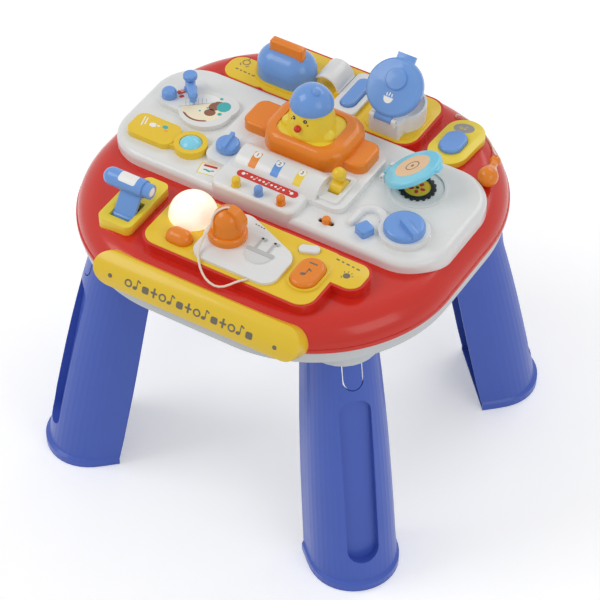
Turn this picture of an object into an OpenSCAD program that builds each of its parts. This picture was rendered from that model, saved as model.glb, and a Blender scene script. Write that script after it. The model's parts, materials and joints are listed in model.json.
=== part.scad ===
// Musical activity table: a round-cornered table top on four channel legs, covered with small push, turn, tilt and lift toys.
// Units are millimetres. Z is up, the floor is z = 0, and -Y is the front edge with the long bar.

/* [Table top] */
// length of the red lip along X
top_l = 492; // [440:2:540]
// depth of the red lip along Y
top_w = 476; // [430:2:520]
// corner radius of the lip
top_r = 187; // [150:1:200]
// height of the lip's lower edge above the floor
lip_z = 367; // [300:1:420]
// radius of the rounded rim
rim_r = 33; // [26:1:40]
// skin thickness of the moulded shells
wall = 3; // [2.5:0.1:3.5]

/* [Raised islands] */
// height of the white deck above the red top
deck_h = 17; // [14:1:22]
// height of the front island's yellow plate above the red top
front_h = 13; // [11:1:16]
// height of the back island's yellow plate above the red top
back_h = 11; // [9:1:14]
// thickness of the yellow plates
plate_t = 4; // [3:0.5:5]

/* [Front bar] */
// thickness of the bar over the rim
bar_t = 4.5; // [3:0.5:6]
// half width of the bar across the rim
bar_w = 21.5; // [18:0.5:23]
// height angle of the bar's middle on the round rim
bar_tilt = 31.5; // [28:0.5:36]

/* [Legs] */
// height where the legs enter the collars
leg_top = 352; // [290:1:400]
// wall of the leg channel
leg_wall = 3; // [2.5:0.1:4]
// middle height of the latch slit's round end
latch_z = 303; // [290:1:310]
// width of the latch tongue with its slit
latch_w = 26; // [20:1:34]
// width of the latch slit
slit_w = 1.6; // [1:0.1:3]
// half distance between feet along X
foot_x = 192.6; // [170:0.1:215]
// half distance between feet along Y
foot_y = 177.6; // [160:0.1:200]

/* [Fits] */
// side clearance of buttons in their holes
btn_gap = 0.3; // [0.2:0.05:0.5]
// running clearance of pins in their bores
run_fit = 0.08; // [0.05:0.01:0.1]
// radius of the hinge pins
pin_r = 1.5; // [1:0.1:1.7]
// thickness of the flanges that keep buttons and knobs in
flange_t = 2.6; // [2:0.1:3]

/* [Toys] */
// lamp dome radius
lamp_r = 30; // [27:1:31]
// radius of the lamp switch's round ends
switch_r = 12; // [10:0.5:12.5]
// radius of the music button's round ends
music_r = 17; // [15:0.5:17.5]
// radius of the small pill button's round ends
pill_r = 6.5; // [5:0.5:7]
// radius of the round dome button
dome_r = 14; // [12:0.5:15]
// side of the square button
square_w = 18; // [15:0.5:20]
// radius of the console's press-in posts
post_r = 5.5; // [4.5:0.5:6]
// toy plug flange radius
plug_r = 24; // [20:1:25]
// radius of the big dial
dial_r = 25.5; // [22:0.5:27]
// radius of the pot
pot_r = 34; // [30:1:35]
// radius of the pot's lid
lid_r = 37; // [33:1:37]
// lid angle at rest, measured up from closed
lid_open = 45; // [20:1:60]
// radius of the round peek lid
peek_r = 37; // [32:1:38]
// peek lid angle at rest, measured up from closed
peek_open = 28; // [15:1:45]

/* [View] */
// which piece to draw

/* [Hidden] */
$fn = 64;
eps = 0.01;
cap_z = lip_z + rim_r;
deck_z = cap_z + deck_h;
plate_z = deck_z + 8;
front_z = cap_z + front_h;
back_z = cap_z + back_h;
plug_z = front_z + 4;
box_z = plate_z + 1;
floor_z = lip_z - 22;
roller_z = front_z;
bean_z = cap_z + 8;
foot_a = atan2(foot_y, foot_x);
foot_d = sqrt(foot_x * foot_x + foot_y * foot_y);

// how far below the leg's top the latch slit ends, inside the collar
latch_top = 17;
// height of the deck's wall, long enough to reach the rim where it falls away
skirt = deck_h + 14;
// gap left over a flange, under its plate
tuck = 0.2;
// red ledge round the yellow plates
ledge = 3.5;
// how far the yellow plates stand above that ledge
proud = 1;

// places of the toys, seen from above: centres, or the two ends of a long one
lamp_at = [-62, -128];
switch_ends = [[-58, -172], [-48, -172]];
plug_at = [-5, -141];
pill_ends = [[83, -112], [95, -107]];
music_ends = [[110, -156], [110, -139]];
roller_at = [-134.5, -170];
post_x = [-38, -6.5, 25];
post_y = -70;
pointer_at = [-83, -17];
gear_at = [69, -8];
chick_at = [-2, 46];
slider_ends = [[76, -61], [90, -61]];
slider_at = [83, -61];
square_at = [131, -53];
dial_at = [172, -30];
pipe_at = [126, -30];
peek_at = [146, 47];
lid_at = [143, 49.5];
peek_hinge_x = 102.5;
faucet_at = [-182, 52];
tap_at = [-198, 28];
dome_at = [-126, -34];
toaster_ends = [[-114, 150], [-88, 150]];
page_at = [-46, 170];
back_ends = [[-7, 142], [-7, 180]];
pot_at = [58, 156];
pot_hinge_y = 116;
bean_ends = [[138, 144], [138, 156]];
stick_at = [206, 114];
stick_dir = 105;
stick_len = 41;

// heights of the hinge axes
roller_pin_z = cap_z + 6;
gear_pin_z = plate_z - 1;
pot_pin_z = back_z + 27;
peek_pin_z = deck_z + 6;
page_pin_z = back_z + 4;

// height of the centre of a ball or cord of radius c that lies on the red top at p
function lie_z(p, c) = let (u = max(0, abs(p[0]) - (top_l / 2 - top_r)), v = max(0, abs(p[1]) - (top_w / 2 - top_r)),
  out = max(0, sqrt(u * u + v * v) - (top_r - rim_r))) lip_z + sqrt((rim_r + c) * (rim_r + c) - out * out);

// side of the squares that take a slice of a leg, wide enough to reach past it
leg_span = 400;

cord_r = 1.4;
string_r = 1.1;
// route of the toy plug's string: x, y and height above the front plate, from the plug's fin to the white plate's edge
plug_route = [[-1.3, -141, 48.8], [-4, -141, 48.8], [-8, -144, 48.4], [-12, -148.5, 46.5], [-15.5, -152.5, 42],
  [-16.5, -155.5, 37.5], [-16.5, -158.5, 32], [-17.5, -163, 24.5], [-20.5, -170.5, 14.5], [-19.5, -179.5, 9],
  [-15.5, -189.5, 6.2], [-6, -200.5, 0.6], [6, -208, -6], [20, -210, -9.5], [31.5, -207, -7.5], [42.5, -201, -0.6],
  [49, -196, 2.2], [52.5, -192.5, 2], [52.5, -190.35, 2]];
// route of the drumstick's string: x, y and height of its centre above where it would lie on the red top
stick_route = [[112, 204, -4], [112, 204, 1.2], [114, 205.5, 3], [118, 208.5, 2], [125, 210.5, 0.3], [135, 210, 0.3],
  [145, 207, 0.3], [155, 201.5, 0.3], [165, 194, 0.3], [174, 185, 0.5], [181, 176, 2], [186, 168.5, 6],
  [190, 162.5, 10.5], [193.5, 157.5, 13.5]];

// ---------- shared shapes ----------

// rounded rectangle given by its low and high corners
module rrect(x0, y0, x1, y1, r) {
  translate([x0 + r, y0]) square([x1 - x0 - 2 * r, y1 - y0]);
  translate([x0, y0 + r]) square([x1 - x0, y1 - y0 - 2 * r]);
  for (x = [x0 + r, x1 - r]) for (y = [y0 + r, y1 - r]) translate([x, y]) circle(r);
}

// capsule between two points
module pill(a, b, r) {
  d = b - a;
  translate(a) rotate(atan2(d[1], d[0])) {
    circle(r);
    translate([norm(d), 0]) circle(r);
    translate([0, -r]) square([norm(d), 2 * r]);
  }
}

// prism of a flat shape between two heights
module slab(z0, z1) {
  translate([0, 0, z0]) linear_extrude(z1 - z0) children();
}

// half of the edge profile of a slab: w across, h tall, top edge rounded by r
module edge_profile(w, h, r) {
  if (h - r > eps) square([w, h - r]);
  square([w - r, h]);
  translate([w - r, h - r]) intersection() {
    circle(r);
    square(r + 1);
  }
}

// rounded rectangular slab centred on the origin with a rounded top edge
module rslab(l, w, c, h, r) {
  for (sx = [-1, 1]) for (sy = [-1, 1])
    translate([sx * (l / 2 - c), sy * (w / 2 - c), 0]) rotate_extrude() edge_profile(c, h, r);
  for (m = [0, 1]) mirror([m, 0, 0]) translate([0, w / 2 - c, 0]) rotate([90, 0, 0])
    linear_extrude(w - 2 * c) edge_profile(l / 2, h, r);
  for (m = [0, 1]) mirror([0, m, 0]) translate([-(l / 2 - c), 0, 0]) rotate([90, 0, 90])
    linear_extrude(l - 2 * c) edge_profile(w / 2, h, r);
}

// outer solid of the red top
module cap_solid(g) {
  translate([0, 0, lip_z]) rslab(top_l - 2 * g, top_w - 2 * g, top_r - g, rim_r - g, rim_r - g);
}

// round cord swept along points, with its rings square to the route
module tube(p, r, n) {
  m = len(p);
  dirs = [for (i = [0 : m - 1]) let (a = p[max(i - 1, 0)], b = p[min(i + 1, m - 1)], d = b - a) d / norm(d)];
  ring = [for (i = [0 : m - 1]) let (t = dirs[i], s = cross([0, 0, 1], t), u = s / max(norm(s), 0.001), v = cross(t, u))
    for (k = [0 : n - 1]) p[i] + r * (cos(360 * k / n) * u + sin(360 * k / n) * v)];
  sides = [for (i = [0 : m - 2]) for (k = [0 : n - 1]) [i * n + k, (i + 1) * n + k, (i + 1) * n + (k + 1) % n, i * n + (k + 1) % n]];
  polyhedron(points = ring, faces = concat(sides, [[for (k = [0 : n - 1]) k]], [[for (k = [0 : n - 1]) m * n - 1 - k]]), convexity = 6);
}

// points between the given ones, on a smooth curve
function smooth(p, s) = [for (i = [0 : len(p) - 2]) for (j = [0 : s - 1])
  let (a = p[max(i - 1, 0)], b = p[i], c = p[i + 1], d = p[min(i + 2, len(p) - 1)], t = j / s)
  0.5 * (2 * b + (c - a) * t + (2 * a - 5 * b + 4 * c - d) * t * t + (3 * b - a - 3 * c + d) * t * t * t),
  p[len(p) - 1]];

// round-ended slab between two points with a rounded top edge
module rpill(e, r, z0, z1, edge) {
  d = e[1] - e[0];
  translate([e[0][0], e[0][1], z0]) rotate([0, 0, atan2(d[1], d[0])]) {
    for (x = [0, norm(d)]) translate([x, 0, 0]) rotate_extrude() edge_profile(r, z1 - z0, edge);
    for (m = [0, 1]) mirror([0, m, 0]) rotate([90, 0, 90]) linear_extrude(norm(d)) edge_profile(r, z1 - z0, edge);
  }
}

// long push button with a wider flange that keeps it under its plate, whose underside is at z
module push(e, r, z, z1, edge) {
  rpill(e, r, z - tuck - flange_t, z1, edge);
  slab(z - tuck - flange_t, z - tuck) pill(e[0], e[1], r + 2);
}

// stem of a knob down through its plate, with the flange that keeps it there
module stem(r, z, z1, rim = 3) {
  translate([0, 0, z - tuck - flange_t]) cylinder(r = r, h = z1 - z + tuck + flange_t);
  translate([0, 0, z - tuck - flange_t]) cylinder(r = r + rim, h = flange_t);
}

// hinge pins, used for the pins themselves and for their bores
module roller_pin(r, l) translate([roller_at[0] - l / 2, roller_at[1], roller_pin_z]) rotate([0, 90, 0]) cylinder(r = r, h = l);
module gear_pin(r, l) translate([gear_at[0] - l / 2, gear_at[1], gear_pin_z]) rotate([0, 90, 0]) cylinder(r = r, h = l);
module pot_pin(r, l) translate([pot_at[0] - l / 2, pot_hinge_y, pot_pin_z]) rotate([0, 90, 0]) cylinder(r = r, h = l);
module peek_pin(r, l) translate([peek_hinge_x, lid_at[1] + l / 2, peek_pin_z]) rotate([90, 0, 0]) cylinder(r = r, h = l);
module page_pin(r, l) translate([page_at[0] + 18, page_at[1] + l / 2, page_pin_z]) rotate([90, 0, 0]) cylinder(r = r, h = l);

// ---------- flat outlines of the islands ----------

module front_outline(g) {
  rrect(-96 - g, -195 - g, 137 + g, -97 + g, 20 + g);
  rrect(110 - g, -142 - g, 171 + g, -98 + g, 16 + g);
}

module back_outline(g) {
  rrect(-130 - g, 112 - g, 98 + g, 207 + g, 22 + g);
  rrect(-178 - g, 112 - g, -110 + g, 155 + g, 18 + g);
}

module bean_outline(g) {
  pill([141, 173], [139, 137], 26 + g);
}

module roller_outline(g) {
  rrect(-160 - g, -191 - g, -113 + g, -128 + g, 9 + g);
  rrect(-147 - g, -140, -113 + g, -99 + g, 9 + g);
  pill([-151, -137], [-138, -108], 9 + g);
}

module box_outline(g) {
  rrect(-72 - g, -80 - g, 47 + g, 6 + g, 12 + g);
}

module wing_outline(g) {
  rrect(-103 - g, -45 - g, 93 + g, 73 + g, 14 + g);
  rrect(-60 - g, 0 - g, 62 + g, 96 + g, 34 + g);
}

module square_outline(g) {
  translate(square_at) rotate(-25) rrect(-square_w / 2 - g, -square_w / 2 - g, square_w / 2 + g, square_w / 2 + g, 3 + g);
}

module plug_outline(g) {
  rrect(-30 - g, -190 - g, 83.9 + g, -128 + g, 18 + g);
  pill([0, -120], [62, -146], 22 + g);
  translate(plug_at) circle(29 + g);
}

// ---------- table top and housing ----------

module top_cap() color([0.80, 0.19, 0.13]) difference() {
  union() {
    difference() {
      cap_solid(0);
      difference() {
        cap_solid(wall);
        slab(cap_z - 9, front_z) front_outline(ledge);
        slab(cap_z - 9, back_z) back_outline(ledge);
      }
      translate([0, 0, lip_z - 5]) rslab(top_l - 2 * wall, top_w - 2 * wall, top_r - wall, 6, 0.5);
    }
    slab(cap_z - 9, front_z - proud) front_outline(ledge);
    slab(cap_z - 9, back_z - proud) back_outline(ledge);
    // bead round the lower edge
    translate([0, 0, lip_z - 3]) difference() {
      rslab(top_l + 3, top_w + 3, top_r + 1.5, 5, 1.5);
      translate([0, 0, -1]) rslab(top_l - 2 * wall, top_w - 2 * wall, top_r - wall, 8, 0.5);
    }
  }
  // seats of the yellow plates and openings under the toys
  slab(front_z - plate_t, front_z + 1) front_outline(0.1);
  slab(back_z - plate_t, back_z + 1) back_outline(0.1);
  slab(cap_z - 20, front_z + 1) front_outline(-7);
  slab(cap_z - 20, front_z + 1) pill(pill_ends[0], pill_ends[1], pill_r + 3);
  slab(cap_z - 20, back_z + 1) back_outline(-7);
  slab(cap_z - 20, cap_z + 1) rrect(-220, -68, 220, 95, 50);
  slab(cap_z - 20, cap_z + 1) pill(bean_ends[0], bean_ends[1], 19);
  slab(cap_z - 30, cap_z + 1) rrect(-150, -181, -119, -143, 3);
  translate([stick_route[0][0], stick_route[0][1], cap_z - 20]) cylinder(r = string_r + 0.8, h = 30);
}

module housing() color([0.84, 0.85, 0.85]) difference() {
  union() {
    translate([0, 0, floor_z]) difference() {
      rslab(top_l - 6, top_w - 6, top_r - 3, lip_z - 3 - floor_z, 0.5);
      translate([0, 0, wall]) rslab(top_l - 12, top_w - 12, top_r - 6, 60, 0.5);
    }
    translate([0, 0, lip_z - 4]) difference() {
      rslab(top_l - 2 * wall - 1, top_w - 2 * wall - 1, top_r - wall - 0.5, 9, 0.5);
      translate([0, 0, -1]) rslab(top_l - 4 * wall, top_w - 4 * wall, top_r - 2 * wall, 12, 0.5);
    }
    corners() leg_socket(-4, 6, floor_z - 18, leg_top + wall);
    board_posts() cylinder(r = 4, h = 24);
    slab(floor_z + 1, floor_z + 14) difference() {
      rrect(-46, 66, 46, 130, 4);
      rrect(-43, 69, 43, 127, 3);
    }
  }
  corners() leg_socket(-0.15, 2, floor_z - 40, leg_top, 22);
  for (x = [-24 : 8 : 24]) for (y = [-24 : 8 : 24]) if (x * x + y * y < 800)
    translate([x, y - 110, floor_z - 1]) cylinder(r = 1.8, h = 6, $fn = 24);
  slab(floor_z - 1, floor_z + 8) rrect(-40, 72, 40, 124, 4);
  board_posts() translate([0, 0, 10]) cylinder(r = 1.5, h = 30, $fn = 24);
}

// one corner of the table, turned into the others by mirroring
module corner(sx, sy) {
  mirror([sx < 0 ? 1 : 0, 0, 0]) mirror([0, sy < 0 ? 1 : 0, 0]) children();
}

module corners() {
  for (sx = [-1, 1]) for (sy = [-1, 1]) corner(sx, sy) children();
}

// the circuit board's four posts
module board_posts() {
  for (x = [-60, 60]) for (y = [-36, 36]) translate([x, y, floor_z + 1]) children();
}

// rows of the leg: height, distance of the widest point from the axis, half width, depth beyond it
LEG = [[0, 262, 58, 65], [10, 262, 58, 65], [13, 260.5, 55.6, 61.4], [40, 254.6, 54.9, 62.6], [80, 246.8, 54.2, 63.6],
  [120, 239, 53.4, 63.2], [160, 231.6, 52.2, 62.2], [200, 224.4, 50.8, 60.4], [240, 217, 48.8, 58.2], [280, 209.4, 46.6, 55.6],
  [320, 201, 44, 52.6], [352, 194, 41.6, 49.8], [360, 192, 41, 49]];

// one level of the leg as a row of points across the open side, offset inward by g
function leg_row(k, g, n) = let (q = LEG[k], z = q[0] * leg_top / 352, c = foot_d + (q[1] - 262), w = q[2] - g, b = q[3] - g,
  t = [for (i = [0 : n]) 180 * i / n])
  [for (a = t) let (u = -w * cos(a), v = b * pow(sin(a), 0.86))
    [(c + v) * cos(foot_a) - u * sin(foot_a), (c + v) * sin(foot_a) + u * cos(foot_a), z]];

// solid between the open side and the outer face, level by level
module leg_body(g, ext, n = 22, m = len(LEG)) {
  rows = [for (k = [0 : m - 1]) let (r = leg_row(k, g, n), q = LEG[k], c0 = foot_d + (q[1] - 262) - 22 - ext, w = q[2] - g, z = r[0][2])
    concat([[c0 * cos(foot_a) + w * sin(foot_a), c0 * sin(foot_a) - w * cos(foot_a), z]], r,
      [[c0 * cos(foot_a) - w * sin(foot_a), c0 * sin(foot_a) + w * cos(foot_a), z]])];
  w = n + 3;
  pts = [for (r = rows) for (p = r) p];
  sides = [for (k = [0 : m - 2]) for (i = [0 : w - 1]) [k * w + i, (k + 1) * w + i, (k + 1) * w + (i + 1) % w, k * w + (i + 1) % w]];
  polyhedron(points = pts, faces = concat(sides, [[for (i = [0 : w - 1]) i]], [[for (i = [0 : w - 1]) m * w - 1 - i]]), convexity = 6);
}

// long round-ended recess on the leg's outer face, seen square to the face
module leg_recess(r, deep, z0, z1) {
  rotate([0, 0, foot_a]) translate([foot_d + 58, 0, 0]) rotate([0, -11.5, 0]) translate([-deep, 0, 0]) rotate([90, 0, 90])
    linear_extrude(60) pill([0, z0 + r], [0, z1 - r], r);
}

// U-shaped slit round the springy tongue that locks the leg's head into the housing
module latch_slit() {
  rotate([0, 0, foot_a]) translate([foot_d - 40, 0, 0]) rotate([90, 0, 90]) linear_extrude(80) difference() {
    pill([0, latch_z], [0, leg_top], latch_w / 2);
    pill([0, latch_z], [0, leg_top], latch_w / 2 - slit_w);
    translate([0, leg_top]) square(2 * latch_top, center = true);
  }
}

module leg() color([0.27, 0.31, 0.64]) difference() {
  union() {
    difference() {
      leg_body(0, 0, 22, len(LEG) - 1);
      leg_body(leg_wall, 10);
    }
    intersection() {
      leg_body(0.2, 0, 22, len(LEG) - 1);
      union() {
        leg_recess(23, 15, 37, 285);
        slab(0, 3) square(leg_span);
        slab(leg_top - 3, leg_top) square(leg_span);
      }
    }
  }
  leg_recess(20, 8, 40, 282);
  latch_slit();
}

module leg_front_right() corner(1, -1) leg();
module leg_front_left() corner(-1, -1) leg();
module leg_back_right() corner(1, 1) leg();
module leg_back_left() corner(-1, 1) leg();

// space round the head of a leg between two heights, grown by -g
module leg_socket(g, ext, z0, z1, n = 14) {
  intersection() {
    leg_body(g, ext, n);
    slab(z0, z1) square(leg_span);
  }
}

// ---------- deck, islands and their fixed trim ----------

module deck() color([0.90, 0.90, 0.89]) difference() {
  union() {
    difference() {
      translate([0, 14.5, deck_z - skirt]) rslab(464, 187, 58, skirt, 9);
      translate([0, 14.5, deck_z - skirt - 1]) rslab(464 - 2 * wall, 187 - 2 * wall, 58 - wall, skirt + 1 - wall, 9 - wall);
    }
    slab(deck_z - 1, deck_z + 2) difference() {
      translate(peek_at) circle(36);
      translate(peek_at) circle(33);
    }
    // lugs of the peek lid's hinge
    for (y = [lid_at[1] - 14.5, lid_at[1] + 8.5]) {
      translate([peek_hinge_x - 3.5, y, deck_z - 1]) cube([7, 6, 7]);
      translate([peek_hinge_x, y + 6, peek_pin_z]) rotate([90, 0, 0]) cylinder(r = 3.5, h = 6);
    }
  }
  cap_solid(0);
  translate([peek_hinge_x - 5, lid_at[1] - 8.5, deck_z]) cube([10, 17, 20]);
  peek_pin(pin_r, 29);
  slab(cap_z - 1, deck_z + 1) box_outline(0);
  slab(cap_z - 1, deck_z + 1) wing_outline(-6);
  // holes under the toys on the deck
  slab(cap_z, deck_z + 1) pill(slider_ends[0], slider_ends[1], 3.6);
  slab(cap_z, deck_z + 1) square_outline(btn_gap);
  translate([dial_at[0], dial_at[1], cap_z]) cylinder(r = 16, h = 30);
  translate([faucet_at[0], faucet_at[1], cap_z]) cylinder(r = 12, h = 30);
  translate([tap_at[0], tap_at[1], cap_z]) cylinder(r = 10, h = 30);
  translate([dome_at[0], dome_at[1], cap_z]) cylinder(r = dome_r + 4, h = 30);
}

// pillow-shaped bar that wraps the front of the rim
module front_bar() color([0.92, 0.78, 0.28]) difference() {
  translate([0, -(top_w / 2 - rim_r), lip_z]) intersection() {
    rotate([0, 90, 0]) translate([0, 0, -160]) cylinder(r = rim_r + bar_t, h = 330, $fn = 128);
    rotate([90 - bar_tilt, 0, 0]) linear_extrude(60) pill([-112, 0], [129, 0], bar_w);
  }
  cap_solid(0);
  translate([0, 0, lip_z - 3]) rslab(top_l + 3, top_w + 3, top_r + 1.5, 5, 1.5);
  slab(lip_z - 60, lip_z - 3) square(600, center = true);
}

module front_panel() color([0.91, 0.78, 0.23]) difference() {
  union() {
    slab(front_z - plate_t, front_z) front_outline(0);
    slab(front_z - 1, front_z + 3) pill(music_ends[0], music_ends[1], music_r + 3.5);
  }
  slab(front_z - 10, front_z + 10) {
    pill(music_ends[0], music_ends[1], music_r + btn_gap);
    pill(pill_ends[0], pill_ends[1], pill_r + btn_gap);
    pill(switch_ends[0], switch_ends[1], switch_r + btn_gap);
    translate(lamp_at) circle(lamp_r - 10);
    translate(plug_at) circle(15);
  }
}

module back_panel() color([0.91, 0.78, 0.23]) difference() {
  union() {
    slab(back_z - plate_t, back_z) back_outline(0);
    slab(back_z - 1, back_z + 3) pill(toaster_ends[0], toaster_ends[1], 30.5);
    slab(back_z - 1, back_z + 2) rrect(19, 117, 95, 195, 26);
    // lugs of the page's hinge
    for (y = [page_at[1] - 23, page_at[1] + 20.2]) {
      translate([page_at[0] + 15.2, y, back_z - 1]) cube([5.6, 2.8, 5]);
      translate([page_at[0] + 18, y + 2.8, page_pin_z]) rotate([90, 0, 0]) cylinder(r = 2.8, h = 2.8);
    }
  }
  page_pin(pin_r, 45);
  slab(back_z, back_z + 9) pill(toaster_ends[0], toaster_ends[1], 27);
  slab(back_z, back_z + 9) pot_outline(0);
  slab(back_z - 10, back_z + 9) rrect(-123, 139, -73, 155, 3);
  slab(back_z - 10, back_z + 9) pill(back_ends[0], back_ends[1], 12.5);
}

module bean_panel() color([0.92, 0.88, 0.33]) difference() {
  slab(cap_z - 14, bean_z) bean_outline(0);
  cap_solid(0);
  slab(cap_z - 20, bean_z + 1) pill(bean_ends[0], bean_ends[1], 15 + btn_gap);
}

module roller_base() color([0.92, 0.88, 0.33]) difference() {
  slab(cap_z - 22, roller_z) roller_outline(0);
  cap_solid(0);
  slab(cap_z - 30, roller_z + 1) rrect(-149, -180, -120, -144, 2);
  roller_pin(pin_r, 37);
}

module lamp_dome() color([0.99, 0.95, 0.82]) translate([lamp_at[0], lamp_at[1], front_z]) difference() {
  sphere(lamp_r);
  sphere(lamp_r - 2.5);
  translate([0, 0, -50]) cube(100, center = true);
}

module plug_plate() color([0.90, 0.90, 0.89]) difference() {
  union() {
    slab(front_z, plug_z) plug_outline(0);
    // raised outline of a plug with its two prongs
    slab(plug_z - 1, plug_z + 1.2) {
      intersection() {
        translate([44, -150]) circle(17);
        translate([20, -180]) square([50, 31]);
      }
      rrect(25, -150, 63, -144, 2);
      rrect(33, -147, 37, -122, 1.5);
      rrect(50, -147, 54, -122, 1.5);
    }
  }
  translate([plug_at[0], plug_at[1], front_z - 1]) cylinder(r = 15, h = 10);
}

module console() color([0.93, 0.93, 0.93]) difference() {
  union() {
    slab(deck_z, plate_z) wing_outline(0);
    translate([-12.5, -37, cap_z]) rslab(119, 86, 12, box_z - cap_z, 5);
    difference() {
      translate([-60, -20, box_z - 12]) rotate([0, 90, 0]) cylinder(r = 26, h = 116);
      slab(0, box_z - 6) square(900, center = true);
      slab(0, 600) translate([-100, 2.5]) square([200, 60]);
    }
    slab(deck_z - 2, plate_z + 3) rrect(55, -38, 83, 14, 5);
  }
  // hollow inside
  slab(cap_z - 1, box_z - 2.5) rrect(-69.5, -77.5, 44.5, 3, 9.5);
  slab(deck_z - 1, plate_z - 2.5) difference() {
    rrect(-97, -39, 87, 67, 8);
    rrect(57, -30, 81, 12, 3);
  }
  difference() {
    translate([-57, -20, box_z - 12]) rotate([0, 90, 0]) cylinder(r = 23.5, h = 110);
    slab(0, box_z - 6) square(900, center = true);
    slab(0, 600) translate([-100, 0]) square([200, 60]);
  }
  for (x = post_x) translate([x, post_y, cap_z]) cylinder(r = post_r + btn_gap, h = 40);
  translate([pointer_at[0], pointer_at[1], cap_z]) cylinder(r = 4 + run_fit, h = 40);
  slab(cap_z, plate_z + 9) rrect(61, -24, 77, 8, 2);
  gear_pin(pin_r, 24);
  slab(cap_z, plate_z + 9) rrect(-40, 20, 36, 74, 10);
  slab(plate_z, plate_z + 40) rrect(-57.2, 2.8, 59.2, 93.2, 32.2);
}

module console_strip() color([0.80, 0.19, 0.13]) slab(box_z, box_z + 1) pill([-44, -51], [29, -51], 5);

module tub() color([0.91, 0.56, 0.18]) difference() {
  union() {
    translate([1, 48, plate_z]) rslab(116, 90, 32, 28, 12);
    translate([-67.5, 47, plate_z]) rslab(45, 50, 14, 14, 4);
    translate([62, 47, plate_z]) rslab(44, 50, 14, 14, 4);
  }
  slab(plate_z + 3, plate_z + 60) rrect(-40 - btn_gap, 14 - btn_gap, 36 + btn_gap, 78 + btn_gap, 18 + btn_gap);
  slab(plate_z - 1, plate_z + 10) translate(chick_at) circle(12);
}

module wash_base() color([0.90, 0.90, 0.89]) difference() {
  union() {
    slab(deck_z, plate_z - 1) {
      translate([-146, 31]) circle(34);
      pill([-196, 28], [-160, 26], 15);
      pill([-184, 58], [-160, 44], 17);
      pill([-146, 44], [-130, 46], 20);
    }
  }
  translate([faucet_at[0], faucet_at[1], deck_z - 1]) cylinder(r = 5 + run_fit, h = 20);
  translate([tap_at[0], tap_at[1], deck_z - 1]) cylinder(r = 4 + run_fit, h = 20);
}

module bottle() color([0.92, 0.78, 0.28]) difference() {
  union() {
    slab(deck_z, plate_z) rrect(-211, -54, -147, -14, 12);
    slab(deck_z, plate_z - 1) rrect(-152, -48, -138, -21, 4);
    slab(deck_z, plate_z + 2) translate(dome_at) circle(21);
  }
  translate([dome_at[0], dome_at[1], deck_z - 1]) cylinder(r = dome_r + btn_gap, h = 20);
}

// half-round shell lying along X over its two end points, grown by g
module toaster_form(g) {
  slab(back_z + min(0, -g), back_z + 17) pill(toaster_ends[0], toaster_ends[1], 27 + g);
  difference() {
    union() {
      for (p = toaster_ends) translate([p[0], p[1], back_z + 17]) sphere(27 + g);
      translate([toaster_ends[0][0], toaster_ends[0][1], back_z + 17]) rotate([0, 90, 0]) cylinder(r = 27 + g, h = 26);
    }
    slab(0, back_z + 16) square(900, center = true);
  }
}

module toaster() color([0.45, 0.63, 0.86]) difference() {
  toaster_form(0);
  toaster_form(-wall);
  slab(back_z - 1, back_z + 5) pill(toaster_ends[0], toaster_ends[1], 27 - wall);
  slab(back_z + 10, back_z + 60) rrect(-121.5 - btn_gap, 141 - btn_gap, -74.5 + btn_gap, 153 + btn_gap, 2);
}

module button_plate() color([0.93, 0.93, 0.93]) difference() {
  slab(back_z, back_z + 5) rrect(-25, 121, 11, 201, 10);
  slab(back_z - 1, back_z + 6) pill(back_ends[0], back_ends[1], 10 + btn_gap);
}

module pot_outline(g) {
  translate(pot_at) circle(pot_r + g);
  rrect(pot_at[0] - 22 - g, pot_hinge_y - g, pot_at[0] + 22 + g, pot_at[1] - 6 + g, 3 + g);
}

module pot() color([0.93, 0.93, 0.93]) difference() {
  union() {
    slab(back_z, back_z + 25) pot_outline(0);
    for (x = [pot_at[0] - 18, pot_at[0] + 12]) {
      translate([x, pot_hinge_y - 4, back_z + 21]) cube([6, 8.6, 6]);
      translate([x, pot_hinge_y, pot_pin_z]) rotate([0, 90, 0]) cylinder(r = 4, h = 6);
    }
  }
  slab(back_z + 3, back_z + 60) translate(pot_at) circle(pot_r - wall);
  slab(back_z - 1, back_z + 22) rrect(pot_at[0] - 18, pot_hinge_y + 3, pot_at[0] + 18, pot_at[1] - pot_r + 2, 1);
  pot_pin(pin_r, 40);
  pot_pin(4.4, 24);
}

module dial_base() color([0.90, 0.90, 0.89]) difference() {
  union() {
    slab(deck_z, plate_z - 1) translate(dial_at) circle(31);
    // pipe that arches beside the dial
    translate([pipe_at[0], pipe_at[1], deck_z + 1]) {
      intersection() {
        rotate_extrude() translate([17, 0]) circle(6);
        translate([-40, 0, -1]) cube([80, 40, 20]);
      }
      translate([-17, 0, 0]) rotate([90, 0, 0]) cylinder(r = 6, h = 16);
      translate([-17, -16, 0]) sphere(6);
    }
  }
  translate([dial_at[0], dial_at[1], deck_z - 1]) cylinder(r = 5 + run_fit, h = 20);
  slab(0, deck_z) square(900, center = true);
}

module peek_ring() color([0.15, 0.14, 0.14]) slab(deck_z, deck_z + 2.5) difference() {
  union() {
    translate(peek_at) circle(21);
    for (a = [0 : 20 : 340]) translate([peek_at[0] + 21 * cos(a), peek_at[1] + 21 * sin(a)]) circle(2.4, $fn = 20);
  }
  translate(peek_at) circle(16.5);
}

module peek_disc() color([0.93, 0.86, 0.20]) slab(deck_z, deck_z + 1.5) translate(peek_at) circle(16.5);

// ---------- electrics and fasteners inside the housing ----------

module circuit_board() color([0.10, 0.38, 0.20]) {
  slab(floor_z + 25, floor_z + 26.6) difference() {
    rrect(-66, -42, 66, 42, 3);
    for (p = [[-60, -36], [60, -36], [-60, 36], [60, 36]]) translate(p) circle(1.7, $fn = 24);
  }
  translate([-20, -10, floor_z + 26.6]) cube([22, 22, 3]);
  translate([20, 5, floor_z + 26.6]) cylinder(r = 4, h = 9);
  translate([-62, -14, floor_z + 26.6]) cube([12, 18, 4]);
}

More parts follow.
